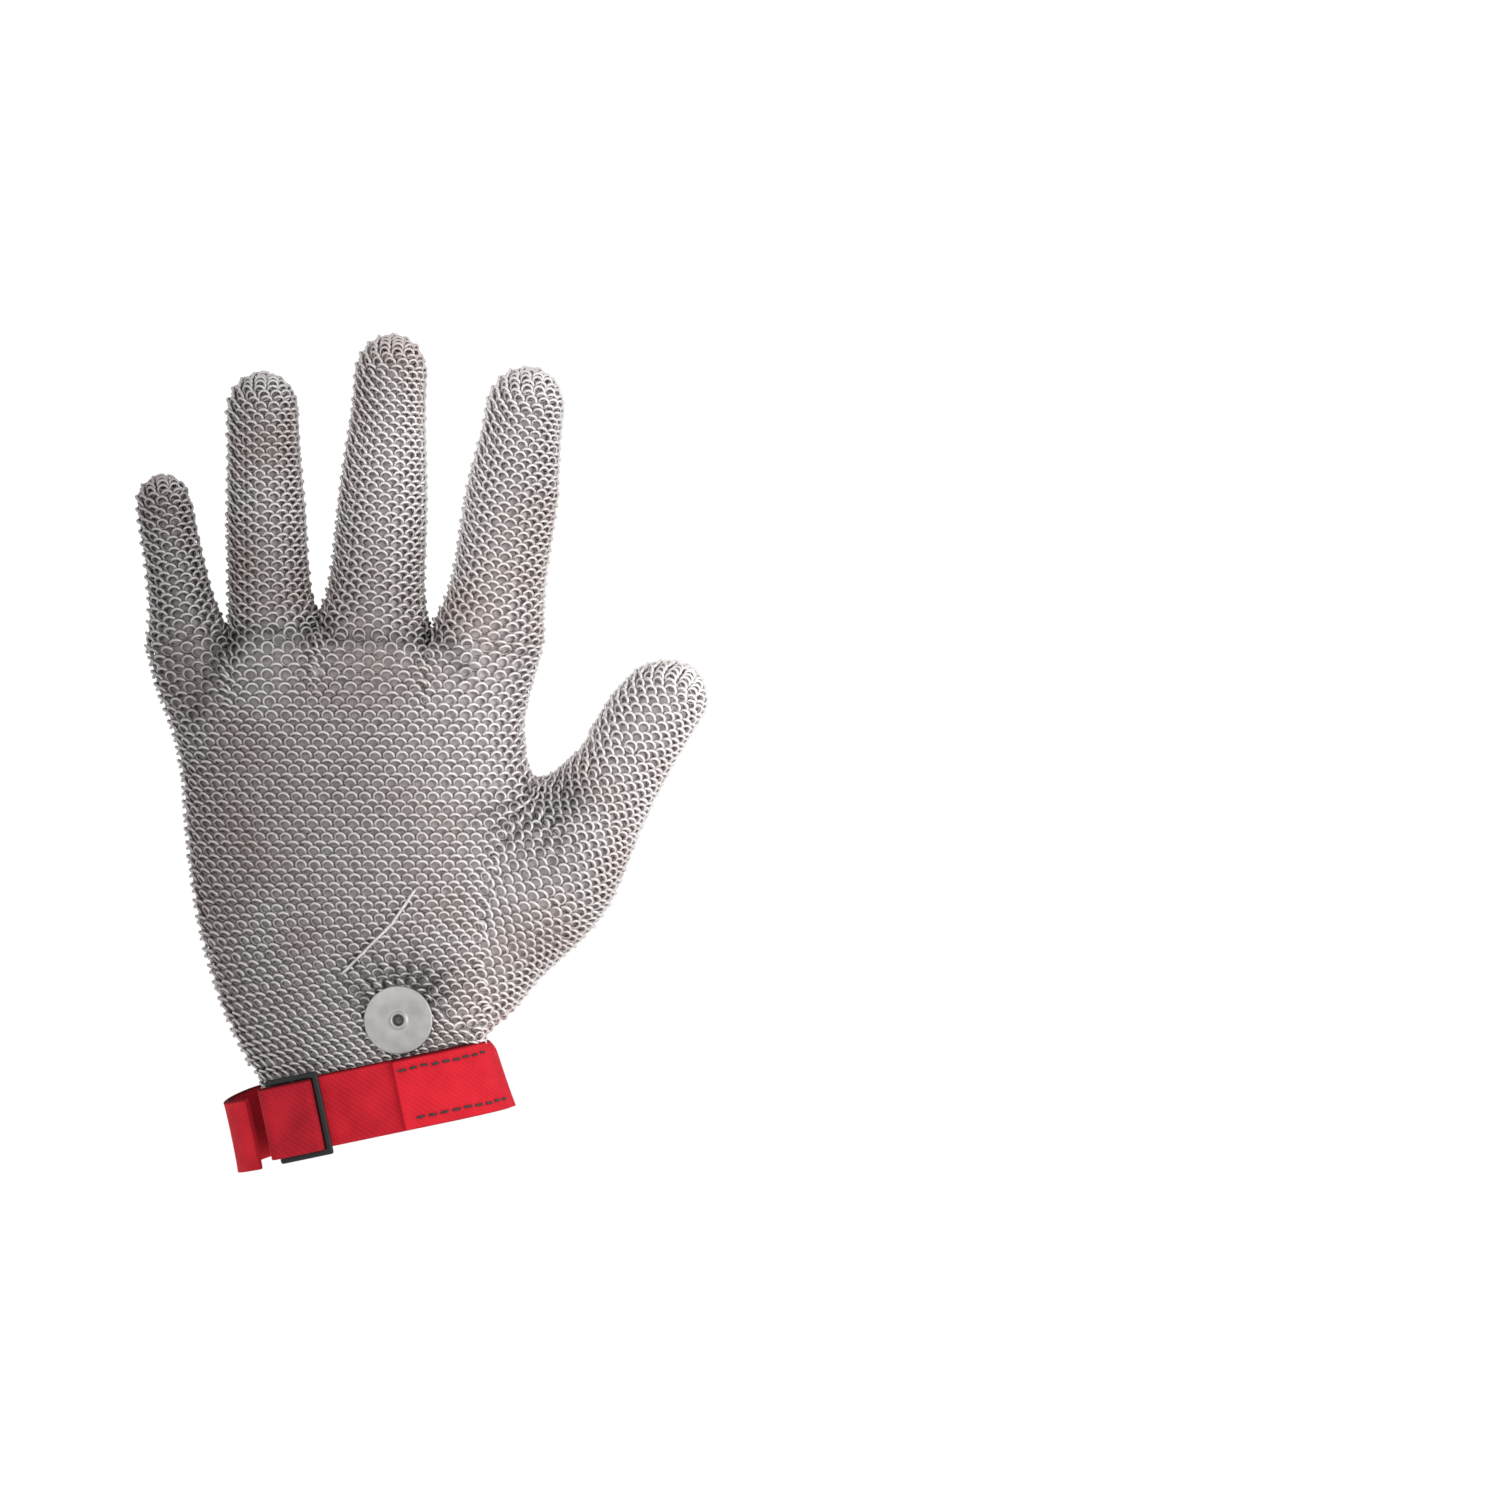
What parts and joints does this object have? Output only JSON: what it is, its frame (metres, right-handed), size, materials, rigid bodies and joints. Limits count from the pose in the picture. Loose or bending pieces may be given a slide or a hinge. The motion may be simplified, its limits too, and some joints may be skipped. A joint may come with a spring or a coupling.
{
  "type": "ring mesh glove",
  "caption": "Hollow five-finger hand glove of interlinked steel rings, with a webbing wrist strap, a slider and a press stud.",
  "frame": {"origin": "centre of the wrist opening, in the middle of the strap loop", "axes": "+Z towards the fingertips, +X towards the thumb, +Y out of the palm side, so the back of the hand faces -Y"},
  "size_m": [0.1607, 0.0415, 0.2357],
  "materials": {
    "ring_mesh": "welded steel rings, tumbled to a satin shine",
    "stud_steel": "satin pressed steel",
    "red_webbing": "woven webbing",
    "black_thread": "twisted sewing thread",
    "black_plastic": "moulded, slightly shiny"
  },
  "bodies": {
    "hand": {"back_panel_mesh": "ring_mesh", "palm_panel_mesh": "ring_mesh", "thumb_root_mesh": "ring_mesh", "strap_band": "red_webbing", "strap_doubled_layer": "red_webbing", "stitch_thread_upper": "black_thread", "stitch_thread_lower": "black_thread", "stud_cap": "stud_steel", "stud_socket": "stud_steel", "stud_spring": "stud_steel"},
    "slider": {"slider_frame": "black_plastic", "strap_loop": "red_webbing"},
    "stud_tab": {"strap_tab": "red_webbing", "stud_post": "stud_steel", "stud_back_eyelet": "stud_steel"},
    "index_proximal": {"index_proximal_mesh": "ring_mesh"},
    "index_middle": {"index_middle_mesh": "ring_mesh"},
    "index_distal": {"index_distal_mesh": "ring_mesh"},
    "middle_proximal": {"middle_proximal_mesh": "ring_mesh"},
    "middle_middle": {"middle_middle_mesh": "ring_mesh"},
    "middle_distal": {"middle_distal_mesh": "ring_mesh"},
    "ring_proximal": {"ring_proximal_mesh": "ring_mesh"},
    "ring_middle": {"ring_middle_mesh": "ring_mesh"},
    "ring_distal": {"ring_distal_mesh": "ring_mesh"},
    "little_proximal": {"little_proximal_mesh": "ring_mesh"},
    "little_middle": {"little_middle_mesh": "ring_mesh"},
    "little_distal": {"little_distal_mesh": "ring_mesh"},
    "thumb_proximal": {"thumb_proximal_mesh": "ring_mesh"},
    "thumb_distal": {"thumb_distal_mesh": "ring_mesh"}
  },
  "joints": [
    {"name": "index_root_knuckle", "type": "hinge", "parent": "hand", "child": "index_proximal", "pos_m": [0.0346, 0, 0.138], "axis": [-0.9888, 0, 0.1495], "range_deg": [0, 70]},
    {"name": "index_middle_knuckle", "type": "hinge", "parent": "index_proximal", "child": "index_middle", "pos_m": [0.03856, 0, 0.1642], "axis": [-0.9888, 0, 0.1495], "range_deg": [0, 80]},
    {"name": "index_end_knuckle", "type": "hinge", "parent": "index_middle", "child": "index_distal", "pos_m": [0.04208, 0, 0.18749], "axis": [-0.9888, 0, 0.1495], "range_deg": [0, 48]},
    {"name": "middle_root_knuckle", "type": "hinge", "parent": "hand", "child": "middle_proximal", "pos_m": [0.0019, 0, 0.141], "axis": [-0.998, 0, 0.0628], "range_deg": [0, 70]},
    {"name": "middle_middle_knuckle", "type": "hinge", "parent": "middle_proximal", "child": "middle_middle", "pos_m": [0.00369, 0, 0.16946], "axis": [-0.998, 0, 0.0628], "range_deg": [0, 80]},
    {"name": "middle_end_knuckle", "type": "hinge", "parent": "middle_middle", "child": "middle_distal", "pos_m": [0.00528, 0, 0.19475], "axis": [-0.998, 0, 0.0628], "range_deg": [0, 48]},
    {"name": "ring_root_knuckle", "type": "hinge", "parent": "hand", "child": "ring_proximal", "pos_m": [-0.028, 0, 0.139], "axis": [-0.9994, 0, -0.0349], "range_deg": [0, 70]},
    {"name": "ring_middle_knuckle", "type": "hinge", "parent": "ring_proximal", "child": "ring_middle", "pos_m": [-0.02888, 0, 0.16433], "axis": [-0.9994, 0, -0.0349], "range_deg": [0, 80]},
    {"name": "ring_end_knuckle", "type": "hinge", "parent": "ring_middle", "child": "ring_distal", "pos_m": [-0.02967, 0, 0.18684], "axis": [-0.9994, 0, -0.0349], "range_deg": [0, 48]},
    {"name": "little_root_knuckle", "type": "hinge", "parent": "hand", "child": "little_proximal", "pos_m": [-0.0512, 0, 0.136], "axis": [-0.9842, 0, -0.1771], "range_deg": [0, 70]},
    {"name": "little_middle_knuckle", "type": "hinge", "parent": "little_proximal", "child": "little_middle", "pos_m": [-0.05406, 0, 0.15187], "axis": [-0.9842, 0, -0.1771], "range_deg": [0, 80]},
    {"name": "little_end_knuckle", "type": "hinge", "parent": "little_middle", "child": "little_distal", "pos_m": [-0.05659, 0, 0.16598], "axis": [-0.9842, 0, -0.1771], "range_deg": [0, 48]},
    {"name": "thumb_root_knuckle", "type": "hinge", "parent": "hand", "child": "thumb_proximal", "pos_m": [0.0624, 0, 0.083], "axis": [-0.8211, 0, 0.5707], "range_deg": [0, 45]},
    {"name": "thumb_end_knuckle", "type": "hinge", "parent": "thumb_proximal", "child": "thumb_distal", "pos_m": [0.07592, 0, 0.10245], "axis": [-0.8211, 0, 0.5707], "range_deg": [0, 70]},
    {"name": "slider_shift", "type": "slide", "parent": "hand", "child": "slider", "axis": [0.979, 0, 0.2038], "range_m": [0, 0.016]},
    {"name": "stud_release", "type": "slide", "parent": "hand", "child": "stud_tab", "axis": [0, 1, 0], "range_m": [0, 0.006]}
  ],
  "couplings": [
    {"joint": "index_end_knuckle", "follows": "index_middle_knuckle", "ratio": 0.6},
    {"joint": "middle_end_knuckle", "follows": "middle_middle_knuckle", "ratio": 0.6},
    {"joint": "ring_end_knuckle", "follows": "ring_middle_knuckle", "ratio": 0.6},
    {"joint": "little_end_knuckle", "follows": "little_middle_knuckle", "ratio": 0.6}
  ]
}
